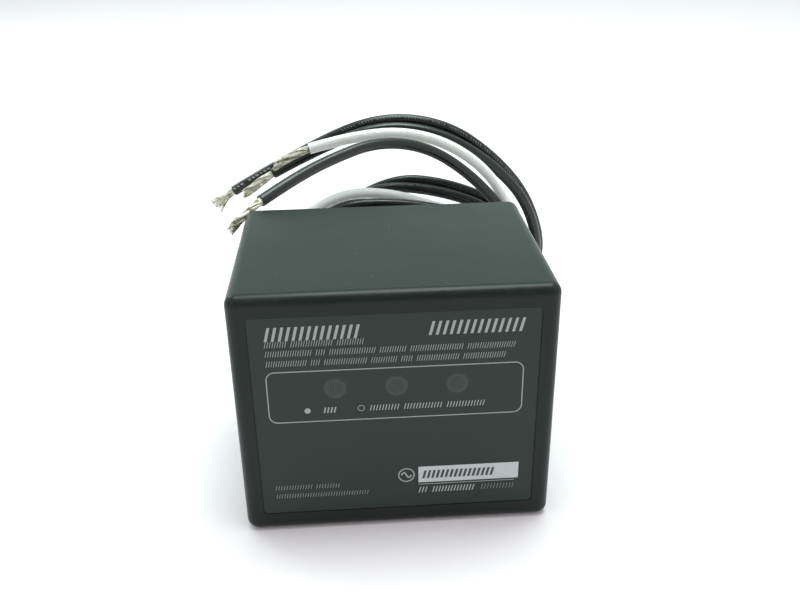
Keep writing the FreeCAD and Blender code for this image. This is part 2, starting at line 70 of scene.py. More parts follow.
# Angles in radians: heading to the right of +Y, dip below level, and roll. Lens in millimetres.
CAMERA_PLACE = Vector((-0.00932, -0.20949, 0.14710))
CAMERA_HEADING = 0.060
CAMERA_DIP = 0.452
CAMERA_ROLL = -0.015
CAMERA_LENS = 39.18
CAMERA_NEAREST = 0.01


def make_camera():
    """Camera in front of the case, a little to the left, looking down at it."""
    flat = math.cos(CAMERA_DIP)
    ahead = Vector((math.sin(CAMERA_HEADING) * flat, math.cos(CAMERA_HEADING) * flat,
                    -math.sin(CAMERA_DIP)))
    right = Vector((math.cos(CAMERA_HEADING), -math.sin(CAMERA_HEADING), 0))
    up = right.cross(ahead)
    turned_right = right * math.cos(CAMERA_ROLL) + up * math.sin(CAMERA_ROLL)
    turned_up = up * math.cos(CAMERA_ROLL) - right * math.sin(CAMERA_ROLL)
    camera = bpy.data.objects.new("camera", bpy.data.cameras.new("camera"))
    bpy.context.scene.collection.objects.link(camera)
    camera.data.lens = CAMERA_LENS
    camera.data.clip_start = CAMERA_NEAREST
    turn = Matrix((turned_right, turned_up, -ahead)).transposed()
    camera.matrix_world = Matrix.Translation(CAMERA_PLACE) @ turn.to_4x4()
    bpy.context.scene.camera = camera


# ------------ leads

LEAD_R = 0.00175
# Distance of each hole from the bushing's axis, along X and along Z
LEAD_OFFSET = 0.00235
# Height of the middle of a lead that lies on the surface, in millimetres
SURFACE = LEAD_R / MM
SPLINE_STEPS = 14
SECTION_STEPS = 6

# Routes in millimetres as (x, distance behind the front of the case, z). Each starts at its
# hole in the bushing, makes one turn and a half behind the case while standing on the surface,
# and ends free at the upper left.
LEAD_ROUTES = {
    "lead_l1": [
        (-2.35, 85, 34.7), (2.5, 101, 28), (11, 111, 14), (24, 112, 7), (39, 111.5, 8),
        (50.5, 111.5, 19.5), (51, 112, 35), (40, 112, 46), (23, 111.5, 52.8), (7, 111.5, 54.8),
        (-10.5, 111.5, 46.5), (-28, 112, 38), (-36.5, 112, 24), (-33, 111.5, 10),
        (-19, 111.5, SURFACE), (5, 111, SURFACE), (29, 111.5, SURFACE), (50, 112, 7),
        (59.5, 112, 24), (53.5, 111.5, 45.5), (41, 111.5, 61), (24, 111.5, 73.2),
        (2, 111.5, 76.2), (-22, 111.5, 67), (-47.9, 111, 52.4),
    ],
    "lead_l2": [
        (2.35, 83, 34.7), (5, 97, 27.5), (13, 106.5, 14), (24, 107.5, 7), (38, 107, 8.4),
        (49, 107, 19), (49.5, 107.5, 34), (38, 107.5, 45), (20, 107, 51.6), (3, 107, 53.7),
        (-14, 107, 47.4), (-28, 107.5, 38.5), (-35.5, 107, 24), (-32.5, 107, 10),
        (-19, 107, SURFACE), (3, 106.5, SURFACE), (26, 107, SURFACE), (47, 107.5, 8.5),
        (57.5, 107.5, 25), (52.2, 107, 46), (38.5, 107, 61), (22, 107, 71.2), (4, 107, 74.5),
        (-15, 107, 69), (-33.9, 107, 59.3),
    ],
    "lead_l3": [
        (2.35, 80, 30), (4.5, 91, 25.5), (10, 98, 15), (20, 98.5, 7.2), (34, 98, 7.8),
        (45, 98, 18.8), (45.5, 98.5, 33.8), (35, 98.5, 44), (21, 98, 48), (6, 98, 50.7),
        (-11, 98, 50.7), (-25, 98.5, 42.5), (-34, 98, 28), (-33, 98, 12.5), (-21, 98, SURFACE),
        (2, 97.5, SURFACE), (26, 98.5, SURFACE), (45, 99, 10), (51.2, 98.5, 27), (43.3, 98, 45.5),
        (30.3, 97, 60.2), (16, 95, 70.3), (0, 90, 73.8), (-14.8, 80, 71.3), (-25.5, 70, 68.7),
        (-34, 61.5, 65.6),
    ],
    "lead_neutral": [
        (-2.35, 81, 30), (0, 94, 25.5), (7, 102, 14.5), (18, 103, 7), (33, 102.5, 7.5),
        (44.5, 102.5, 18.8), (45, 103, 34.5), (34, 103, 43), (20, 102.5, 47), (6, 102.5, 52.2),
        (-10, 102.5, 53.4), (-23.5, 102.5, 46.5), (-34, 103, 37), (-36.5, 102.5, 22),
        (-31, 102.5, 9), (-17, 102.5, SURFACE), (6, 102, SURFACE), (28, 103, SURFACE),
        (45.5, 103.5, 10.5), (50.5, 103, 28), (44.5, 102.5, 48), (34, 102.5, 62.5),
        (17, 102.5, 72.1), (-3, 102.5, 73.4), (-21.3, 101, 69),
    ],
}
# Hole of each lead in the bushing as (side, level)
LEAD_HOLES = {"lead_l1": (-1, 1), "lead_l2": (1, 1), "lead_l3": (1, -1), "lead_neutral": (-1, -1)}


def lead_exit(lead):
    """Middle of a lead where it leaves the bushing."""
    side, level = LEAD_HOLES[lead]
    return Vector((side * LEAD_OFFSET, EXIT_Y, MID_Z + level * LEAD_OFFSET))


def lead_curve(lead):
    """Insulation of one lead as a smooth spline that has the route's points as controls."""
    curve = bpy.data.curves.new(lead + "_insulation", "CURVE")
    curve.dimensions = "3D"
    spline = curve.splines.new("NURBS")
    route = [Vector((x * MM, FRONT + behind * MM, z * MM)) for x, behind, z in LEAD_ROUTES[lead]]
    controls = [lead_exit(lead)] + route
    spline.points.add(len(controls) - 1)
    for point, place in zip(spline.points, controls):
        point.co = (place.x, place.y, place.z, 1.0)
    spline.order_u = 3
    spline.use_endpoint_u = True
    spline.resolution_u = SPLINE_STEPS
    curve.bevel_depth = LEAD_R
    curve.bevel_resolution = SECTION_STEPS
    curve.use_fill_caps = True
    piece = bpy.data.objects.new(curve.name, curve)
    bpy.context.scene.collection.objects.link(piece)
    return piece


def centreline(piece):
    """Points down the middle of a lead, read from its spline."""
    bare = bpy.data.objects.new("bare", piece.data.copy())
    bare.data.bevel_depth = 0.0
    mesh = bpy.data.meshes.new_from_object(bare)
    points = [v.co.copy() for v in mesh.vertices]
    bpy.data.meshes.remove(mesh)
    bpy.data.curves.remove(bare.data)
    return points


make_camera()
leads = {lead: lead_curve(lead) for lead in LEAD_ROUTES}
lines = {lead: centreline(piece) for lead, piece in leads.items()}


# ------------ materials

def srgb(red, green, blue):
    """Linear colour, with alpha, of an sRGB colour given from 0 to 255."""
    parts = [part / 255 for part in (red, green, blue)]
    linear = [p / 12.92 if p <= 0.04045 else ((p + 0.055) / 1.055) ** 2.4 for p in parts]
    return (*linear, 1.0)


def shade(colour, factor):
    """A colour made lighter or darker, opaque."""
    return (colour[0] * factor, colour[1] * factor, colour[2] * factor, 1.0)


# Paler tone painted round each window's rim as its highlight
WINDOW_RIM_HIGHLIGHT = srgb(57, 66, 62)


class Finish:
    """A procedural material: one Principled shader, and textures measured in millimetres."""

    def __init__(self, **settings):
        self.material = bpy.data.materials.new("finish")
        self.material.use_nodes = True
        self.tree = self.material.node_tree
        self.shader = self.tree.nodes["Principled BSDF"]
        self.place = self.node("ShaderNodeTexCoord").outputs["Object"]
        for socket, value in settings.items():
            self.shader.inputs[socket.replace("_", " ")].default_value = value

    def node(self, kind, inputs=(), **settings):
        made = self.tree.nodes.new(kind)
        for setting, value in settings.items():
            setattr(made, setting, value)
        for socket, value in dict(inputs).items():
            self.feed(made.inputs[socket], value)
        return made

    def feed(self, socket, value):
        if isinstance(value, bpy.types.NodeSocket):
            self.tree.links.new(value, socket)
        else:
            socket.default_value = value

    def stretched(self, x=1.0, y=1.0, z=1.0):
        """The surface's place in millimetres, with each axis multiplied."""
        scale = (x / MM, y / MM, z / MM)
        mapping = self.node("ShaderNodeMapping", {"Vector": self.place, "Scale": scale})
        return mapping.outputs["Vector"]

    def noise(self, per_mm, detail=2.0, rough=0.5, stretch=(1.0, 1.0, 1.0)):
        inputs = {"Vector": self.stretched(*stretch), "Scale": per_mm, "Detail": detail,
                  "Roughness": rough}
        return self.node("ShaderNodeTexNoise", inputs).outputs["Fac"]

    def specks(self, per_mm, size):
        """1 in sparse round specks of a cell pattern, and 0 between them."""
        inputs = {"Vector": self.stretched(), "Scale": per_mm}
        cells = self.node("ShaderNodeTexVoronoi", inputs, feature="F1")
        return self.span(cells.outputs["Distance"], size, size * 0.5)

    def span(self, value, low, high, to_low=0.0, to_high=1.0):
        """A value carried from one range to another, smoothly and clamped."""
        inputs = {"Value": value, "From Min": low, "From Max": high, "To Min": to_low,
                  "To Max": to_high}
        made = self.node("ShaderNodeMapRange", inputs, interpolation_type="SMOOTHSTEP")
        return made.outputs["Result"]

    def math(self, operation, first, second=0.0, third=0.0):
        made = self.node("ShaderNodeMath", operation=operation)
        for socket, value in zip(made.inputs, (first, second, third)):
            self.feed(socket, value)
        return made.outputs[0]

    def axes(self):
        """The surface's place in metres, one number per axis."""
        made = self.node("ShaderNodeSeparateXYZ", {"Vector": self.place})
        return made.outputs["X"], made.outputs["Y"], made.outputs["Z"]

    def from_windows(self):
        """Distance in metres from the axis of the nearest status window."""
        x, _, z = self.axes()
        up = self.math("POWER", self.math("SUBTRACT", z, WINDOW_Z), 2.0)
        nearest = None
        for window_x in WINDOW_XS:
            across = self.math("POWER", self.math("SUBTRACT", x, window_x), 2.0)
            away = self.math("SQRT", self.math("ADD", across, up))
            nearest = away if nearest is None else self.math("MINIMUM", nearest, away)
        return nearest

    def mix(self, factor, first, second):
        made = self.node("ShaderNodeMix", data_type="RGBA")
        self.feed(made.inputs[0], factor)
        self.feed(made.inputs[6], first)
        self.feed(made.inputs[7], second)
        return made.outputs[2]

    def colour(self, value):
        self.feed(self.shader.inputs["Base Color"], value)

    def roughness(self, value):
        self.feed(self.shader.inputs["Roughness"], value)

    def bump(self, height, depth_mm, under=None):
        """Relief of that depth, on top of another relief if one is given."""
        inputs = {"Height": height, "Distance": depth_mm * MM, "Strength": 1.0}
        if under is not None:
            inputs["Normal"] = under
        made = self.node("ShaderNodeBump", inputs)
        self.feed(self.shader.inputs["Normal"], made.outputs["Normal"])
        return made.outputs["Normal"]


CASE_MIDDLE = (case_low + case_high) / 2
CASE_HALF = (case_high - case_low) / 2
# Width of the paler band along the case's edges: rubbed wear, and a painted highlight that widens the
# one on its rounded edges
EDGE_WEAR_AND_SHEEN_REACH = 1.7 * MM


def near_case_edges(finish, reach):
    """1 on the outer edges of the case, fading to 0 at the reach from them."""
    depths = []
    for at, middle, half in zip(finish.axes(), CASE_MIDDLE, CASE_HALF):
        from_middle = finish.math("ABSOLUTE", finish.math("SUBTRACT", at, middle))
        depths.append(finish.math("SUBTRACT", half, from_middle))
    x, y, z = depths
    least = finish.math("MINIMUM", finish.math("MAXIMUM", x, y), finish.math("MAXIMUM", x, z))
    least = finish.math("MINIMUM", least, finish.math("MAXIMUM", y, z))
    return finish.span(least, reach, 0.0)


def moulded_plastic(tone, roughness, grain_mm=0.012, dust_and_edge_sheen=True):
    """Spark-eroded moulded plastic with fine grain and soft flow clouds.

    If dust and sheen are asked for, the edges of the case are painted paler, partly as rubbed wear
    and partly as a painted highlight along its rounded edges, and lint lies on what faces up.
    """
    finish = Finish(Roughness=roughness, Specular_IOR_Level=0.22)
    clouds = finish.noise(0.05, 3.0, 0.6)
    base = finish.mix(finish.span(clouds, 0.35, 0.65), shade(tone, 0.92), shade(tone, 1.08))
    grain = finish.noise(5.0, 3.0, 0.65)
    pits = finish.noise(1.6, 2.0)
    base = finish.mix(finish.span(grain, 0.5, 0.8, 0.0, 0.25), base, shade(tone, 1.6))
    base = finish.mix(finish.span(pits, 0.5, 0.75, 0.0, 0.3), base, shade(tone, 1.7))
    if dust_and_edge_sheen:
        # Paler edges: partly rubbed wear, partly a painted highlight along the rounded edges
        scuff_and_sheen_patches = finish.span(finish.noise(0.35, 3.0, 0.7), 0.42, 0.68, 0.12, 0.5)
        rubbed_and_sheen = finish.math("MULTIPLY", near_case_edges(finish, EDGE_WEAR_AND_SHEEN_REACH), scuff_and_sheen_patches)
        base = finish.mix(rubbed_and_sheen, base, shade(tone, 3.2))
        lint = finish.specks(0.35, 0.07)
        patches = finish.span(finish.noise(0.12, 1.0), 0.44, 0.56)
        normal = finish.node("ShaderNodeNewGeometry").outputs["Normal"]
        upward = finish.node("ShaderNodeSeparateXYZ", {"Vector": normal}).outputs["Z"]
        settled = finish.math("MULTIPLY", patches, finish.span(upward, 0.8, 0.98, 0.0, 0.6))
        dust = finish.math("MULTIPLY", lint, settled)
        base = finish.mix(dust, base, srgb(170, 178, 172))
    finish.colour(base)
    finish.roughness(finish.span(clouds, 0.3, 0.7, roughness - 0.04, roughness + 0.04))
    coarse = finish.bump(pits, grain_mm * 0.8)
    finish.bump(grain, grain_mm, coarse)
    return finish.material


WINDOW_STEM_R = 2.75 * MM
WINDOW_HALO_R = 3.2 * MM
# The painted highlight ring in a window's lens: its inner edge fades in and its outer edge fades out
HIGHLIGHT_RING_INSIDE = (1.5 * MM, 2.2 * MM)
HIGHLIGHT_RING_OUTSIDE = (2.8 * MM, 2.4 * MM)


def label_film():
    """Velvet polycarbonate film, paler right round the windows, where the highlight of the windows'
    rims is painted.
    """
    tone = srgb(43, 52, 48)
    finish = Finish(Roughness=0.42, Specular_IOR_Level=0.22)
    clouds = finish.noise(0.08, 3.0)
    film = finish.mix(clouds, shade(tone, 0.93), shade(tone, 1.07))
    # Painted highlight: the label is paler just round each window's rim
    near = finish.span(finish.from_windows(), WINDOW_HALO_R, WINDOW_STEM_R)
    finish.colour(finish.mix(near, film, WINDOW_RIM_HIGHLIGHT))
    velvet = finish.noise(9.0, 2.0, 0.7)
    finish.roughness(finish.span(velvet, 0.3, 0.7, 0.38, 0.46))
    finish.bump(velvet, 0.006)
    return finish.material


def ink(tone):
    """Screen-printed ink, a little uneven in cover."""
    finish = Finish(Roughness=0.5)
    cover = finish.noise(6.0, 2.0)
    finish.colour(finish.mix(finish.span(cover, 0.4, 0.7), tone, shade(tone, 0.82)))
    finish.bump(cover, 0.004)
    return finish.material


def smoked_lens():
    """Diffusing smoked acrylic of the status windows, with a paler ring painted in as the highlight
    on its rim.
    """
    tone = srgb(53, 59, 57)
    finish = Finish(Roughness=0.35, Specular_IOR_Level=0.3)
    mottle = finish.noise(0.7, 3.0, 0.6)
    lens = finish.mix(finish.span(mottle, 0.3, 0.7), shade(tone, 0.88), shade(tone, 1.1))
    away = finish.from_windows()
    # Paler ring painted in as the highlight on the lens's rim
    ring = finish.math("MULTIPLY", finish.span(away, *HIGHLIGHT_RING_INSIDE),
                       finish.span(away, *HIGHLIGHT_RING_OUTSIDE))
    finish.colour(finish.mix(ring, lens, WINDOW_RIM_HIGHLIGHT))
    finish.roughness(finish.span(mottle, 0.3, 0.7, 0.3, 0.42))
    finish.bump(finish.noise(4.0, 2.0), 0.003)
    return finish.material


def insulation(tone, roughness, streak):
    """Extruded insulation under a clear nylon skin, with soft dents and a mottle of streaks."""
    finish = Finish(Roughness=roughness, Specular_IOR_Level=0.54)
    dents = finish.noise(0.25, 2.0)
    grain = finish.noise(3.0, 3.0, 0.6)
    finish.colour(finish.mix(finish.span(grain, 0.35, 0.75), tone, streak))
    finish.roughness(finish.span(dents, 0.3, 0.7, roughness - 0.04, roughness + 0.06))
    soft = finish.bump(dents, 0.1)
    finish.bump(grain, 0.006, soft)
    return finish.material


def metal(tone, darker_tone, roughness, per_mm=2.0, depth_mm=0.006, bare=1.0):
    """Metal, bare or dulled by oxide, with darker clouds in its tone and fine plating grain; the
    clouds are stains, but on the tinned strands they are painted shade.
    """
    finish = Finish(Metallic=bare, Roughness=roughness)
    clouds = finish.noise(per_mm * 0.3, 3.0, 0.6)
    grain = finish.noise(per_mm, 3.0, 0.7)
    finish.colour(finish.mix(finish.span(clouds, 0.4, 0.7), tone, darker_tone))
    finish.roughness(finish.span(grain, 0.3, 0.7, roughness - 0.08, roughness + 0.12))
    finish.bump(grain, depth_mm)
    return finish.material


def rubber(tone):
    """Matt moulded rubber with a fine grain."""
    finish = Finish(Roughness=0.7)
    grain = finish.noise(4.0, 3.0, 0.6)
    finish.colour(finish.mix(grain, shade(tone, 0.8), shade(tone, 1.3)))
    finish.roughness(finish.span(grain, 0.3, 0.7, 0.62, 0.8))
    finish.bump(grain, 0.015)
    return finish.material


def epoxy(tone, roughness=0.25):
    """Dipped or potted epoxy: glossy, with shallow sags and a few pinholes."""
    finish = Finish(Roughness=roughness, Coat_Weight=0.4, Coat_Roughness=0.1)
    sags = finish.noise(0.3, 2.0)
    pinholes = finish.specks(0.8, 0.09)
    finish.colour(finish.mix(finish.span(sags, 0.3, 0.7), shade(tone, 0.85), shade(tone, 1.15)))
    finish.roughness(finish.span(sags, 0.3, 0.7, roughness - 0.05, roughness + 0.1))
    soft = finish.bump(sags, 0.15)
    finish.bump(finish.math("SUBTRACT", 1.0, pinholes), 0.05, soft)
    return finish.material


def board_laminate():
    """Green solder mask over copper tracks on glass laminate."""
    finish = Finish(Roughness=0.35, Coat_Weight=0.3, Coat_Roughness=0.15)
    inputs = {"Vector": finish.stretched(1.0, 0.0, 1.0), "Scale": 0.16, "Randomness": 0.75}
    cells = finish.node("ShaderNodeTexVoronoi", inputs, feature="F1", distance="CHEBYCHEV")
    rings = finish.math("PINGPONG", cells.outputs["Distance"], 0.16)
    tracks = finish.span(rings, 0.06, 0.075)
    weave = finish.noise(3.0, 2.0)
    mask = finish.mix(weave, srgb(18, 66, 40), srgb(24, 80, 50))
    finish.colour(finish.mix(tracks, mask, srgb(44, 112, 66)))
    relief = finish.bump(tracks, 0.03)
    finish.bump(weave, 0.008, relief)
    return finish.material


# Colour bands as (millimetres from the middle, colour), and where the body gives way to wire
RESISTOR_BANDS = [
    (-2.0, srgb(150, 90, 30)),
    (-1.0, srgb(20, 20, 22)),
    (0.0, srgb(180, 40, 30)),
    (1.8, srgb(190, 150, 50)),
]
RESISTOR_WIRES = (3.15 * MM, 3.25 * MM)


def resistor_body():
    """Beige resistor with four colour bands; the three of them share one pitch along X."""
    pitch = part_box("resistor_l3")[0].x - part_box("resistor_l2")[0].x
    finish = Finish(Roughness=0.4)
    x = finish.math("WRAP", finish.axes()[0], -pitch / 2, pitch / 2)
    tone = finish.mix(finish.noise(3.0, 2.0), srgb(196, 170, 122), srgb(214, 190, 140))
    for centre, colour in RESISTOR_BANDS:
        away = finish.math("ABSOLUTE", finish.math("SUBTRACT", x, centre * MM))
        tone = finish.mix(finish.span(away, 0.3 * MM, 0.24 * MM), tone, colour)
    wires = finish.span(finish.math("ABSOLUTE", x), *RESISTOR_WIRES)
    finish.colour(finish.mix(wires, tone, srgb(190, 188, 180)))
    finish.feed(finish.shader.inputs["Metallic"], wires)
    finish.bump(finish.noise(2.0, 2.0), 0.01)
    return finish.material


def studio_floor():
    """Matt white sweep with barely visible paper tooth."""
    finish = Finish(Roughness=0.9)
    tooth = finish.noise(0.8, 3.0)
    finish.colour(finish.mix(tooth, (0.94, 0.85, 0.88, 1.0), (0.975, 0.88, 0.915, 1.0)))
    finish.bump(tooth, 0.02)
    return finish.material


BLACK_TONE = srgb(13, 16, 14)
CASE_TONE = srgb(25, 31, 28)

materials = {
    "case_plastic": moulded_plastic(CASE_TONE, 0.32),
    "nipple_plastic": moulded_plastic(srgb(36, 39, 38), 0.4, 0.008, False),
    "label_film": label_film(),
    "window_plastic": smoked_lens(),
    "gasket_rubber": rubber(srgb(40, 41, 43)),
    "bushing_epoxy": epoxy(srgb(30, 32, 33), 0.35),
    "screw_steel": metal(srgb(196, 194, 186), srgb(160, 158, 146), 0.3),
    "locknut_steel": metal(srgb(200, 204, 206), srgb(158, 164, 172), 0.34, 1.5),
    "board_laminate": board_laminate(),
    "led_resin": epoxy(srgb(150, 196, 150), 0.15),
    "varistor_coating": epoxy(srgb(24, 74, 150), 0.3),
    "cutoff_case": metal(srgb(214, 208, 190), srgb(176, 166, 140), 0.28),
    "resistor_body": resistor_body(),
    "terminal_metal": metal(srgb(206, 200, 180), srgb(176, 164, 132), 0.3),
    # Its darker clouds are painted shade, in the olive of the shade between the strands
    "tinned_copper": metal(srgb(244, 241, 226), srgb(126, 119, 88), 0.42, 1.6, 0.001, 0.5),
    "black_insulation": insulation(BLACK_TONE, 0.27, shade(BLACK_TONE, 1.4)),
    "white_insulation": insulation(srgb(240, 240, 236), 0.32, srgb(228, 228, 222)),
    "label_ink": ink(srgb(156, 168, 162)),
    "bar_ink": ink(srgb(196, 201, 202)),
    "dark_ink": ink(srgb(52, 60, 58)),
    "lead_ink": ink(srgb(140, 143, 139)),
    "grey_ink": ink(srgb(206, 206, 203)),
    "studio_floor": studio_floor(),
}
for slot_name, material in materials.items():
    material.name = slot_name

NODE_SLOTS = {
    "housing": "case_plastic",
    "back_cover": "case_plastic",
    "front_label": "label_film",
    "cover_gasket": "gasket_rubber",
    "nipple_gasket": "gasket_rubber",
    "sealing_washer": "gasket_rubber",
    "cover_screws": "screw_steel",
    "board_screws": "screw_steel",
    "terminal_screws": "screw_steel",
    "inner_nut": "nipple_plastic",
    "lead_bushing": "bushing_epoxy",
    "circuit_board": "board_laminate",
    "led": "led_resin",
    "varistor": "varistor_coating",
    "thermal_cutoff": "cutoff_case",
    "resistor": "resistor_body",
    "terminal": "terminal_metal",
}


def finish_cad_nodes():
    """Gives every CAD node that stays in view the material of its slot."""
    for name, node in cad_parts.items():
        family = name.rsplit("_", 1)[0]
        slot = NODE_SLOTS.get(name) or NODE_SLOTS.get(family)
        if name.endswith("_inner"):
            slot = "white_insulation" if "neutral" in name else "black_insulation"
        if slot:
            for holder in node.material_slots:
                holder.material = materials[slot]


# ------------ mesh tools

def piece_from(bm, name, slot, body, smooth_angle=None):
    """Makes a piece of a finished bmesh, gives it its material and lets it ride."""
    bmesh.ops.recalc_face_normals(bm, faces=bm.faces)
    mesh = bpy.data.meshes.new(name)
    bm.to_mesh(mesh)
    bm.free()
    piece = bpy.data.objects.new(name, mesh)
    bpy.context.scene.collection.objects.link(piece)
    mesh.materials.append(materials[slot])
    if smooth_angle is not None:
        mesh.shade_smooth()
        mesh.set_sharp_from_angle(angle=smooth_angle)
    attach(piece, body)
    return piece


def skin_rings(bm, rings, closed_along):
    """Joins rings of vertices with quads; the last ring meets the first if closed along."""
    count = len(rings[0])
    pairs = list(zip(rings, rings[1:]))
    if closed_along:
        pairs.append((rings[-1], rings[0]))
    for one, other in pairs:
        for i in range(count):
            j = (i + 1) % count
            bm.faces.new((one[i], one[j], other[j], other[i]))


def tube_along(bm, places, radii, sides):
    """Closed round tube through the places, with a radius at each."""
    rings = []
    across = None
    for i, place in enumerate(places):
        along = (places[min(i + 1, len(places) - 1)] - places[max(i - 1, 0)]).normalized()
        if across is None:
            across = along.orthogonal().normalized()
        across = (across - along * across.dot(along)).normalized()
        beside = along.cross(across)
        ring = []
        for k in range(sides):
            angle = FULL_TURN * k / sides
            out = across * math.cos(angle) + beside * math.sin(angle)
            ring.append(bm.verts.new(place + out * radii[i]))
        rings.append(ring)
    skin_rings(bm, rings, False)
    bm.faces.new(rings[0])
    bm.faces.new(rings[-1])


# ------------ bare ends of the leads

STRAND_R = 0.00013
STRAND_LAYERS = 4
STRAND_STEPS = 10
STRAND_SIDES = 6
# Length of each strand hidden inside the insulation
STRAND_ROOT = 0.0015
CLUMPS = 4
# Share of the way that a strand turns towards the middle of its clump
GATHER = 0.55
# Where along the end its waist is, and how long the waist is, as shares of the reach
WAIST_AT = 0.4
WAIST_SPAN = 0.18


def strand_places():
    """Strands as (distance from the middle, angle, layer), with six more in each layer."""
    places = [(0.0, 0.0, 0)]
    for layer in range(1, STRAND_LAYERS + 1):
        count = 6 * layer
        places += [(layer * 2 * STRAND_R, FULL_TURN * i / count, layer) for i in range(count)]
    return places


def bare_end(lead, reach, lay, loose, fan, thin, waist, bend, seed):
    """Strands beyond a lead's insulation, twisted in clumps, and bent by handling.

    reach: length of the longest strand.
    lay: length in which the bundle twists once round.
    loose: how much wider the bundle is soon after the insulation.
    fan: how much wider it is at the tip, in the plane of the bend.
    thin: its thickness at the tip across that plane, 1 for round.
    waist: how much narrower it is near its middle.
    bend: sideways shift of the tip, as a vector.
    seed: for the random reach and stray of its clumps and strands.
    """
    chance = random.Random(seed)
    end = lines[lead][-1]
    along = (end - lines[lead][-2]).normalized()
    across = (bend - along * bend.dot(along)).normalized()
    beside = along.cross(across)
    clumps = [(chance.uniform(0.85, 1.0), chance.uniform(-0.1, 0.25), chance.uniform(-0.5, 0.5))
              for _ in range(CLUMPS)]
    bm = bmesh.new()
    for distance, angle, layer in strand_places():
        clump = int(CLUMPS * angle / FULL_TURN)
        clump_angle = FULL_TURN * (clump + 0.5) / CLUMPS
        own_reach, stray_out, stray_turn = clumps[clump]
        own_reach = reach * (own_reach - 0.07 * chance.random())
        stray_out += chance.uniform(-0.05, 0.08)
        stray_turn += chance.uniform(-0.12, 0.12)
        places = []
        for step in range(STRAND_STEPS + 1):
            s = -STRAND_ROOT + (own_reach + STRAND_ROOT) * step / STRAND_STEPS
            t = max(0.0, s / reach)
            gather = GATHER * min(1.0, 2.5 * t)
            turn = angle + (clump_angle - angle) * gather + FULL_TURN * s / lay + stray_turn * t * t
            out = distance * (1 + loose * min(1.0, 3 * t) + stray_out * t)
            out *= 1 - waist * math.exp(-((t - WAIST_AT) / WAIST_SPAN) ** 2)
            wide = 1 + fan * t ** 1.6
            deep = 1 - (1 - thin) * t
            place = end + along * s + bend * t ** 1.5
            place += across * (out * wide * math.cos(turn)) + beside * (out * deep * math.sin(turn))
            places.append(place)
        tube_along(bm, places, [STRAND_R] * len(places), STRAND_SIDES)
    piece = piece_from(bm, lead + "_bare_end", "tinned_copper", "case", math.radians(70))
    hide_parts(lead + "_strands")
    return piece


# ------------ print on the leads

# How far the print stands proud of the insulation, and how far it is sunk in it
PRINT_LIFT = 0.00002
DASH_SLANT = 0.00022
DASH_ROWS = (-1.0, -0.33, 0.33, 1.0)
FIRST_RUN = 6


def lead_print(lead, slot, facing, stretches, seed):
    """Lines of short slanted dashes, grouped in runs, printed along a lead.

    Each stretch is (start, stop, pitch, width of a dash, height of a dash).
    """
    chance = random.Random(seed)
    line = lines[lead]
    bm = bmesh.new()
    for start, stop, pitch, width, height in stretches:
        walked = 0.0
        next_dash = start
        left_in_run = FIRST_RUN
        for one, other in zip(line, line[1:]):
            step = (other - one).length
            while next_dash <= walked + step and next_dash < stop:
                place = one.lerp(other, (next_dash - walked) / step)
                size = (width * chance.uniform(0.65, 1.35), height * chance.uniform(0.7, 1.0))
                add_dash(bm, place, (other - one).normalized(), facing, size)
                next_dash += pitch
                left_in_run -= 1
                if left_in_run == 0:
                    left_in_run = chance.randint(2, 8)
                    next_dash += pitch
            walked += step
    piece = piece_from(bm, lead + "_print", slot, "case")
    return piece


def add_dash(bm, place, along, facing, size):
    """One dash of (width, height) wrapped on the insulation, as a thin closed shell."""
    width, height = size
    out = (facing - along * facing.dot(along)).normalized()
    beside = along.cross(out)
    half = height / 2 / LEAD_R
    layers = []
    for radius in (LEAD_R - PRINT_LIFT, LEAD_R + PRINT_LIFT):
        rows = []
        for part in DASH_ROWS:
            angle = part * half
            spoke = out * math.cos(angle) + beside * math.sin(angle)
            middle = place + spoke * radius + along * DASH_SLANT * part
            rows.append([bm.verts.new(middle - along * width / 2),
                         bm.verts.new(middle + along * width / 2)])
        layers.append(rows)
    low, high = layers
    for i in range(len(low) - 1):
        bm.faces.new((low[i][0], low[i][1], low[i + 1][1], low[i + 1][0]))
        bm.faces.new((high[i][0], high[i][1], high[i + 1][1], high[i + 1][0]))
        for side in (0, 1):
            bm.faces.new((low[i][side], low[i + 1][side], high[i + 1][side], high[i][side]))
    for i in (0, -1):
        bm.faces.new((low[i][0], low[i][1], high[i][1], high[i][0]))


def piece_length(lead):
    """Length of a lead along its spline."""
    return sum((other - one).length for one, other in zip(lines[lead], lines[lead][1:]))


PRINT_FACING = Vector((0.0, -1.0, 0.7))
PRINT_SEED = 12

BARE_ENDS = {
    "lead_l1": {"reach": 0.0088, "lay": 0.05, "loose": 0.0, "fan": 1.5, "thin": 0.7, "waist": 0.1,
                "bend": Vector((0.0002, 0, -0.0016)), "seed": 3},
    "lead_l2": {"reach": 0.0125, "lay": 0.030, "loose": 0.25, "fan": 0.0, "thin": 0.9, "waist": 0.0,
                "bend": Vector((0, 0, -0.0021)), "seed": 5},
    "lead_l3": {"reach": 0.0128, "lay": 0.026, "loose": 0.1, "fan": 0.45, "thin": 0.9, "waist": 0.3,
                "bend": Vector((0, 0, -0.0022)), "seed": 8},
    "lead_neutral": {"reach": 0.0128, "lay": 0.026, "loose": 0.35, "fan": 0.0, "thin": 0.9,
                     "waist": 0.12, "bend": Vector((0, 0, -0.0027)), "seed": 9},
}


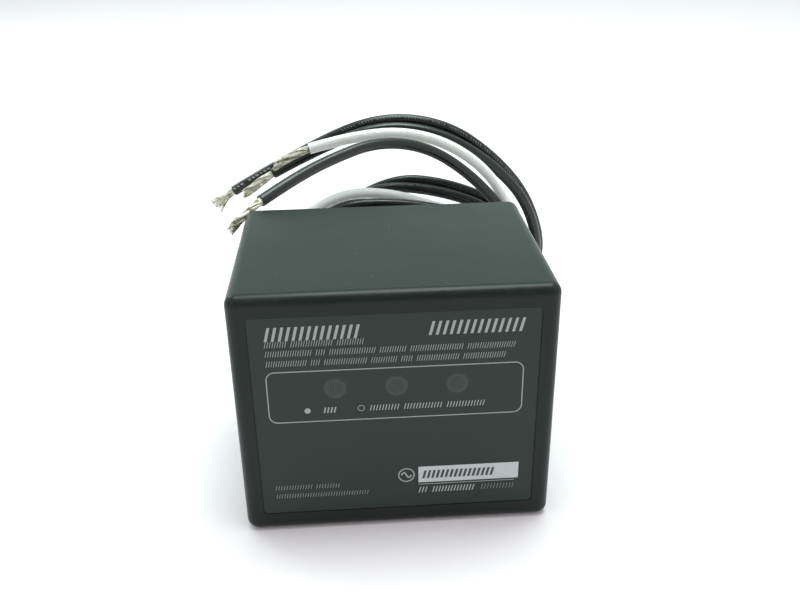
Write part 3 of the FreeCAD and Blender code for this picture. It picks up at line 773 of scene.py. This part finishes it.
def finish_leads():
    bare_ends = {lead: bare_end(lead, **shape) for lead, shape in BARE_ENDS.items()}
    for lead, piece in leads.items():
        slot = "white_insulation" if lead == "lead_neutral" else "black_insulation"
        piece.data.materials.append(materials[slot])
        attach(piece, "case")
        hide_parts(lead)
        length = piece_length(lead)
        if lead == "lead_l1":
            stretches = [(0.62 * length, length - 0.042, 0.0010, 0.00020, 0.0006),
                         (length - 0.0145, length - 0.0008, 0.0015, 0.0008, 0.0007)]
            lead_print(lead, "lead_ink", PRINT_FACING, stretches, PRINT_SEED)
        elif lead == "lead_neutral":
            stretches = [(0.74 * length, length - 0.005, 0.0010, 0.00022, 0.0006)]
            lead_print(lead, "grey_ink", PRINT_FACING, stretches, PRINT_SEED)


# ------------ label print

# How far ink stands proud of the label, and how far it is sunk in it
INK_LIFT = 0.00004
INK_ROOT = 0.00001
SLANT = math.tan(math.radians(14))
# Gap between two runs of hatching, in pitches of the hatching
RUN_GAP = 1.5


def ink_prism(bm, corners, lift=INK_LIFT):
    """Closed flat piece of ink on the label from its outline as (x, z) corners."""
    near = [bm.verts.new((x, LABEL_FACE - lift, z)) for x, z in corners]
    far = [bm.verts.new((x, LABEL_FACE + INK_ROOT, z)) for x, z in corners]
    bm.faces.new(near)
    bm.faces.new(far)
    for i in range(len(corners)):
        j = (i + 1) % len(corners)
        bm.faces.new((near[i], near[j], far[j], far[i]))


def ink_ring(bm, x, z, outer, inner, sides=40):
    """Flat ring of ink round a point."""
    turns = [FULL_TURN * i / sides for i in range(sides)]
    rings = []
    for radius, y in ((inner, LABEL_FACE - INK_LIFT), (outer, LABEL_FACE - INK_LIFT),
                      (outer, LABEL_FACE + INK_ROOT), (inner, LABEL_FACE + INK_ROOT)):
        rings.append([bm.verts.new((x + radius * math.cos(a), y, z + radius * math.sin(a)))
                      for a in turns])
    skin_rings(bm, rings, True)


def disc_outline(x, z, radius, sides=32):
    """Corners of a many-sided outline that stands for a round one."""
    return [(x + radius * math.cos(FULL_TURN * i / sides),
             z + radius * math.sin(FULL_TURN * i / sides)) for i in range(sides)]


def hatch_line(bm, x0, x1, z, height, runs, width):
    """Line of fine slanted hatching from x0 to x1, broken into runs of so many bars."""
    pitch = (x1 - x0) / (sum(runs) + RUN_GAP * (len(runs) - 1))
    x = x0
    for bars in runs:
        even_row(bm, x, x + bars * pitch, z, height, bars, width)
        x += pitch * (bars + RUN_GAP)


def even_row(bm, x0, x1, z, height, count, width, lift=INK_LIFT):
    """Row of equal slanted bars from x0 to x1."""
    lean = SLANT * height
    pitch = (x1 - x0 - width - lean) / (count - 1)
    for i in range(count):
        x = x0 + i * pitch
        ink_prism(bm, [(x, z), (x + width, z), (x + width + lean, z + height),
                       (x + lean, z + height)], lift)


def rounded_path(x0, x1, z0, z1, radius, steps=8):
    """Points round a rectangle with rounded corners, with each point's outward direction."""
    places = []
    corners = ((x1 - radius, z1 - radius, 0), (x0 + radius, z1 - radius, 1),
               (x0 + radius, z0 + radius, 2), (x1 - radius, z0 + radius, 3))
    for x, z, quarter in corners:
        for i in range(steps + 1):
            angle = (quarter + i / steps) * FULL_TURN / 4
            out = (math.cos(angle), math.sin(angle))
            places.append((x + radius * out[0], z + radius * out[1], out))
    return places


def ink_frame(bm, x0, x1, z0, z1, radius, width):
    """Rounded outline of one line width."""
    path = rounded_path(x0, x1, z0, z1, radius)
    rings = []
    for side, y in ((-1, LABEL_FACE - INK_LIFT), (1, LABEL_FACE - INK_LIFT),
                    (1, LABEL_FACE + INK_ROOT), (-1, LABEL_FACE + INK_ROOT)):
        offset = side * width / 2
        rings.append([bm.verts.new((x + out[0] * offset, y, z + out[1] * offset))
                      for x, z, out in path])
    skin_rings(bm, rings, True)


def ink_wave(bm, x0, x1, z, height, width, steps=28):
    """One period of a sine wave drawn as a band of ink."""
    places = []
    for i in range(steps + 1):
        t = i / steps
        slope = height * FULL_TURN * math.cos(FULL_TURN * t) / (x1 - x0)
        out = Vector((-slope, 1.0)).normalized() * (width / 2)
        centre = Vector((x0 + (x1 - x0) * t, z + height * math.sin(FULL_TURN * t)))
        places.append((centre + out, centre - out))
    upper = [(p.x, p.y) for p, _ in places]
    lower = [(p.x, p.y) for _, p in places]
    near, far = [[[bm.verts.new((x, y, z)) for x, z in row] for row in (upper, lower)]
                 for y in (LABEL_FACE - INK_LIFT, LABEL_FACE + INK_ROOT)]
    for i in range(steps):
        bm.faces.new((near[0][i], near[0][i + 1], near[1][i + 1], near[1][i]))
        bm.faces.new((far[0][i], far[0][i + 1], far[1][i + 1], far[1][i]))
        for side in (0, 1):
            bm.faces.new((near[side][i], near[side][i + 1], far[side][i + 1], far[side][i]))
    for i in (0, steps):
        bm.faces.new((near[0][i], near[1][i], far[1][i], far[0][i]))


# The label's layout is in millimetres from the middle of the case and up from its base.
# Headings: (left, right, base, height, number of bars, width of a bar)
HEADINGS = [
    (-29.7, -8.0, 53.6, 3.5, 14, 0.66),
    (7.5, 29.7, 53.6, 3.5, 14, 0.66),
]
# Lines of hatching: (left, right, base, height, bars in each run, width of a bar)
SMALL_PRINT = [
    (-29.8, -7.2, 52.0, 1.5, (9, 17, 11), 0.13),
    (-29.8, 27.6, 49.6, 1.5, (19, 4, 19, 11, 22, 20), 0.13),
    (-29.8, 25.4, 47.0, 1.5, (17, 4, 18, 11, 5, 18, 18), 0.13),
    (-17.3, -14.2, 34.0, 1.5, (4,), 0.34),
    (-6.4, 20.9, 34.1, 1.5, (10, 13, 13), 0.22),
    (-30.1, -14.4, 12.2, 1.2, (14, 9), 0.11),
    (-30.1, -7.4, 9.7, 1.2, (36,), 0.11),
    (5.0, 19.0, 9.3, 1.7, (3, 14), 0.3),
    (20.6, 28.8, 9.4, 1.5, (11,), 0.09),
]
# Rounded frame round the windows, dot and ring beside their captions, and the wave symbol
FRAME_SIDES = (-30.0, 29.7, 31.8, 45.5)
FRAME_RADIUS = 2.0
FRAME_LINE = 0.24
DOT = (-21.0, 34.8, 0.72)
CAPTION_RING = (-8.4, 34.9, 0.82, 0.68)
SYMBOL_RING = (2.05, 14.8, 2.05, 1.75)
SYMBOL_WAVE = (0.85, 3.25, 14.8, 0.75, 0.36)
# Light bar and the rule under it, as (left, right, base, top), and the row of bars printed on it
BAR = (5.0, 29.8, 12.4, 17.1)
RULE = (5.0, 28.9, 11.75, 11.92)
BAR_PRINT = (5.9, 23.8, 13.6, 2.3, 16, 0.6)


def in_metres(lengths):
    """Lengths given in millimetres."""
    return [length * MM for length in lengths]


def ink_block(bm, sides):
    """Rectangle of ink, as (left, right, base, top) in millimetres."""
    x0, x1, z0, z1 = in_metres(sides)
    ink_prism(bm, [(x0, z0), (x1, z0), (x1, z1), (x0, z1)])


def ink_row(bm, row, lift=INK_LIFT):
    """Row of equal bars, as (left, right, base, height, number of bars, width of a bar)."""
    *place, bars, width = row
    even_row(bm, *in_metres(place), bars, width * MM, lift)


def print_label():
    """All print on the label; words are stood for by slanted hatching."""
    heading = bmesh.new()
    for row in HEADINGS:
        ink_row(heading, row)

    words = bmesh.new()
    for *place, runs, width in SMALL_PRINT:
        hatch_line(words, *in_metres(place), runs, width * MM)

    marks = bmesh.new()
    ink_frame(marks, *in_metres(FRAME_SIDES), FRAME_RADIUS * MM, FRAME_LINE * MM)
    ink_prism(marks, disc_outline(*in_metres(DOT)))
    ink_ring(marks, *in_metres(CAPTION_RING))
    ink_ring(marks, *in_metres(SYMBOL_RING))
    ink_wave(marks, *in_metres(SYMBOL_WAVE))
    ink_block(marks, RULE)

    bar = bmesh.new()
    ink_block(bar, BAR)
    on_bar = bmesh.new()
    ink_row(on_bar, BAR_PRINT, 2 * INK_LIFT)

    for bm, name, colour in ((heading, "label_heading", "label_ink"),
                             (words, "label_small_print", "label_ink"),
                             (marks, "label_marks", "label_ink"),
                             (bar, "label_bar", "bar_ink"),
                             (on_bar, "label_bar_print", "dark_ink")):
        piece_from(bm, name, colour, "case")


# ------------ turned pieces

def turned_rings(bm, rows, middle, segments):
    """Rings of vertices about an axis along Y through the middle.

    rows are functions or (radius, y) pairs round the section; a function gives the radius and
    y at an angle about +Y that is 0 at +Z and grows towards +X.
    """
    rings = []
    for row in rows:
        ring = []
        for i in range(segments):
            angle = FULL_TURN * i / segments
            radius, y = row(angle) if callable(row) else row
            ring.append(bm.verts.new((middle.x + radius * math.sin(angle), y,
                                      middle.z + radius * math.cos(angle))))
        rings.append(ring)
    return rings


def turned_ring(rows, middle, segments):
    """Bmesh of a closed ring about an axis along Y, such as a nut or a sleeve."""
    bm = bmesh.new()
    skin_rings(bm, turned_rings(bm, rows, middle, segments), True)
    return bm


def turned_solid(rows, middle, segments):
    """Bmesh of a round solid about an axis along Y, closed by its first and last rings."""
    bm = bmesh.new()
    rings = turned_rings(bm, rows, middle, segments)
    skin_rings(bm, rings, False)
    bm.faces.new(rings[0])
    bm.faces.new(rings[-1])
    return bm


# Conduit thread: 14 turns per inch, right-handed, with rounded crests and roots
PITCH = 0.0254 / 14
THREAD_DEPTH = 0.0010
THREAD_ROWS = 16
NIPPLE_AXIS = Vector((0, 0, MID_Z))
NIPPLE_BORE_R = 0.0079
COLLAR_R = 0.0109
COLLAR_L = 0.0020
THREAD_R = 0.01045
INNER_THREAD_R = 0.0099
THREAD_ROOT_R = THREAD_R - THREAD_DEPTH
# Rounding of the nipple's and the nut's edges
EDGE = 0.0003
# Small step that keeps neighbouring rows of the nipple apart
ROW_GAP = 0.0001
RELIEF_L = 0.0009
LEAD_IN = 0.0008
TIP_TAPER_L = 0.0012
TIP_TAPER = 0.0009
NIPPLE_SIDES = 128


def thread_cut(y, angle):
    """How deep the thread is at a place, from 0 on the crest to 1 at the root."""
    phase = (y - NIPPLE_END) / PITCH - angle / FULL_TURN
    wave = 0.5 - 0.5 * math.cos(FULL_TURN * phase)
    return min(1.0, max(0.0, 1.25 * wave - 0.12))


def ease(value, low, high):
    """From 0 at low to 1 at high, smooth at both."""
    t = min(1.0, max(0.0, (value - low) / (high - low)))
    return t * t * (3 - 2 * t)


def thread_row(y, crest, runout=1.0):
    """Row of a thread at y, whose grooves fade to nothing as runout goes to 0."""
    return lambda angle: (crest - THREAD_DEPTH * thread_cut(y, angle) * runout, y)


def floored_thread_row(y, crest, floor):
    """Row of a thread at y whose grooves go no deeper than the floor."""
    return lambda angle: (max(floor, crest - THREAD_DEPTH * thread_cut(y, angle)), y)


def make_nipple():
    """Moulded nipple with rounded conduit threads on both sides of its collar."""
    inner_end = nipple_low.y
    collar_end = BACK + COLLAR_L
    floor = THREAD_ROOT_R - ROW_GAP
    step = PITCH / THREAD_ROWS
    rows = [(NIPPLE_BORE_R + EDGE, inner_end), (INNER_THREAD_R - 2 * EDGE, inner_end)]
    y = inner_end + 2 * EDGE
    while y < COVER_FRONT:
        rows.append(thread_row(y, INNER_THREAD_R, ease(COVER_FRONT - y, 0.0, PITCH)))
        y += step
    rows += [(INNER_THREAD_R, BACK - ROW_GAP), (COLLAR_R - EDGE, BACK), (COLLAR_R, BACK + EDGE),
             (COLLAR_R, collar_end - EDGE), (COLLAR_R - EDGE, collar_end),
             (THREAD_ROOT_R + EDGE, collar_end), (THREAD_ROOT_R, collar_end + EDGE),
             (THREAD_ROOT_R, collar_end + RELIEF_L)]
    start = collar_end + RELIEF_L + ROW_GAP
    taper_start = NIPPLE_END - TIP_TAPER_L
    y = start
    while y < NIPPLE_END - EDGE:
        crest = THREAD_R - TIP_TAPER * ease(y, taper_start, NIPPLE_END)
        crest = THREAD_ROOT_R + (crest - THREAD_ROOT_R) * ease(y, start, start + LEAD_IN)
        rows.append(floored_thread_row(y, crest, floor))
        y += step
    rows += [(floor, NIPPLE_END), (NIPPLE_BORE_R + EDGE, NIPPLE_END),
             (NIPPLE_BORE_R, NIPPLE_END - EDGE), (NIPPLE_BORE_R, inner_end + EDGE)]
    bm = turned_ring(rows, NIPPLE_AXIS, NIPPLE_SIDES)
    piece = piece_from(bm, "nipple_threaded", "nipple_plastic", "case", math.radians(40))
    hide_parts("nipple")


NUT_LUGS = 8
NUT_R = 0.0142
NUT_HUB_R = 0.01270
NUT_CLEARANCE = 0.00014
NUT_THREAD_R = THREAD_R + NUT_CLEARANCE
# How much thinner the lugs are than the hub, and how far the hub's flat stops short of them
LUG_DROP = 0.0007
HUB_FLAT_GAP = 0.0006
# Slope of the lugs from the hub to their tips: (inset of the outline, share of the drop)
LUG_SLOPE = [(0.0009, 0.4), (0.0003, 0.75)]
NUT_SIDES = 192


def lug_outline(angle, inset):
    """Outline of the lugs, notched between them, drawn in by an inset."""
    share = ease(math.cos(NUT_LUGS * angle), -0.55, -0.15)
    return NUT_HUB_R + (NUT_R - NUT_HUB_R) * share - inset


def lug_row(y, inset):
    """Row of the lugs' outline at y."""
    return lambda angle: (lug_outline(angle, inset), y)


def make_locknut():
    """Die-cast locknut: threaded hub with eight lugs that thin out towards their tips."""
    low, high = nut_low.y, nut_high.y
    bored = high - low - 2 * EDGE
    count = int(bored / (PITCH / THREAD_ROWS))
    rows = [(NUT_THREAD_R, low)]
    rows += [thread_row(low + EDGE + bored * i / count, NUT_THREAD_R) for i in range(count + 1)]
    rows += [(NUT_THREAD_R, high), (NUT_HUB_R - HUB_FLAT_GAP, high)]
    rows += [lug_row(high - LUG_DROP * share, inset) for inset, share in LUG_SLOPE]
    rows += [lug_row(high - LUG_DROP - EDGE, 0.0), lug_row(low + EDGE, 0.0), lug_row(low, EDGE)]
    bm = turned_ring(rows, NIPPLE_AXIS, NUT_SIDES)
    piece = piece_from(bm, "locknut_cast", "locknut_steel", "locknut", math.radians(35))
    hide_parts("locknut")


DOME_ROWS = 9
DOME_RISE = 0.00007
# Narrowest and widest row of the dome, as shares of the stem's radius
DOME_SHARES = (0.02, 0.98)
# Depth of the lens's edge below the label's face
LENS_EDGE = 0.00006
FLANGE_L = 0.001
FLANGE_EDGE = 0.0001
WINDOW_SIDES = 64


def make_windows():
    """Status windows: low domes with a rolled edge on a stem and a flange behind the wall."""
    inner, outer = DOME_SHARES
    for phase, x, (low, high) in zip(PHASES, WINDOW_XS, window_boxes):
        middle = Vector((x, 0, WINDOW_Z))
        flange_y = high.y - FLANGE_L
        flange = (high.x - low.x) / 2
        rows = []
        for i in range(DOME_ROWS):
            r = WINDOW_STEM_R * (inner + (outer - inner) * i / (DOME_ROWS - 1))
            rows.append((r, LABEL_FACE - DOME_RISE * math.cos(r / WINDOW_STEM_R * FULL_TURN / 4)))
        rows += [(WINDOW_STEM_R, LABEL_FACE + LENS_EDGE), (WINDOW_STEM_R, flange_y),
                 (flange - FLANGE_EDGE, flange_y), (flange, flange_y + FLANGE_EDGE),
                 (flange, high.y - FLANGE_EDGE), (flange - FLANGE_EDGE, high.y),
                 (WINDOW_STEM_R * inner, high.y)]
        bm = turned_solid(rows, middle, WINDOW_SIDES)
        piece = piece_from(bm, "window_lens_" + phase, "window_plastic", "case", math.radians(40))
        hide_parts("window_" + phase)


# ------------ studio

FLOOR_REACH = 3.0


def make_floor():
    """Square floor that the object stands on, which isn't part of it."""
    bm = bmesh.new()
    corners = [(-1, -1), (1, -1), (1, 1), (-1, 1)]
    bm.faces.new([bm.verts.new((x * FLOOR_REACH, y * FLOOR_REACH, 0)) for x, y in corners])
    mesh = bpy.data.meshes.new("floor")
    bm.to_mesh(mesh)
    bm.free()
    mesh.materials.append(materials["studio_floor"])
    floor = bpy.data.objects.new("floor", mesh)
    bpy.context.scene.collection.objects.link(floor)


LIGHT_TINT = (0.86, 1.0, 0.96)
LIGHT_TARGET = (0.02, 0, 0.03)
WHITE = (0.97, 0.99, 1.02, 1.0)
GREENISH = (0.77, 0.99, 0.93, 1.0)
DIM_ROOM = (0.3, 0.3, 0.3, 1.0)


def soft_light(name, place, side, power):
    """Square light with a faint green tint, aimed at the object."""
    data = bpy.data.lights.new(name, "AREA")
    data.shape = "SQUARE"
    data.size = side
    data.energy = power
    data.color = LIGHT_TINT
    light = bpy.data.objects.new(name, data)
    bpy.context.scene.collection.objects.link(light)
    light.location = place
    aim = Vector(LIGHT_TARGET) - Vector(place)
    light.rotation_euler = aim.to_track_quat("-Z", "Y").to_euler()


def side_at(elevation, backward):
    """Direction at an elevation in degrees, behind the object if backward is 1 and in front if -1."""
    angle = math.radians(elevation)
    return Vector((0.0, backward * math.cos(angle), math.sin(angle)))


def blend_toward(tree, under, over, direction, wide, narrow):
    """Colour of the world that goes from under to over as the angle from a direction shrinks.

    The change starts at the wide angle and is complete at the narrow one, both in degrees.
    """
    place = tree.nodes.new("ShaderNodeTexCoord")
    toward = tree.nodes.new("ShaderNodeVectorMath")
    toward.operation = "DOT_PRODUCT"
    toward.inputs[1].default_value = direction
    tree.links.new(place.outputs["Generated"], toward.inputs[0])
    fade = tree.nodes.new("ShaderNodeMapRange")
    fade.interpolation_type = "SMOOTHSTEP"
    fade.inputs["From Min"].default_value = math.cos(math.radians(wide))
    fade.inputs["From Max"].default_value = math.cos(math.radians(narrow))
    tree.links.new(toward.outputs["Value"], fade.inputs["Value"])
    mix = tree.nodes.new("ShaderNodeMix")
    mix.data_type = "RGBA"
    for socket, colour in ((mix.inputs[6], under), (mix.inputs[7], over)):
        if isinstance(colour, bpy.types.NodeSocket):
            tree.links.new(colour, socket)
        else:
            socket.default_value = colour
    tree.links.new(fade.outputs["Result"], mix.inputs[0])
    return mix.outputs[2]


def make_surroundings():
    """White surroundings, greener behind the object and dim towards the room in front."""
    world = bpy.data.worlds.new("surroundings")
    bpy.context.scene.world = world
    world.use_nodes = True
    tree = world.node_tree
    walls = blend_toward(tree, WHITE, GREENISH, side_at(26, 1), 85, 30)
    walls = blend_toward(tree, walls, DIM_ROOM, side_at(38, -1), 48, 14)
    tree.links.new(walls, tree.nodes["Background"].inputs["Color"])


def make_studio():
    """Pale floor, white surroundings, a soft light overhead and a weak one behind."""
    bpy.context.scene.view_settings.view_transform = "Standard"
    make_surroundings()
    soft_light("overhead", (0.08, 0.12, 0.9), 0.5, 6.5)
    soft_light("behind_left", (-0.55, 0.55, 0.55), 0.35, 1.6)
    make_floor()


finish_cad_nodes()
finish_leads()
print_label()
make_nipple()
make_locknut()
make_windows()
make_studio()
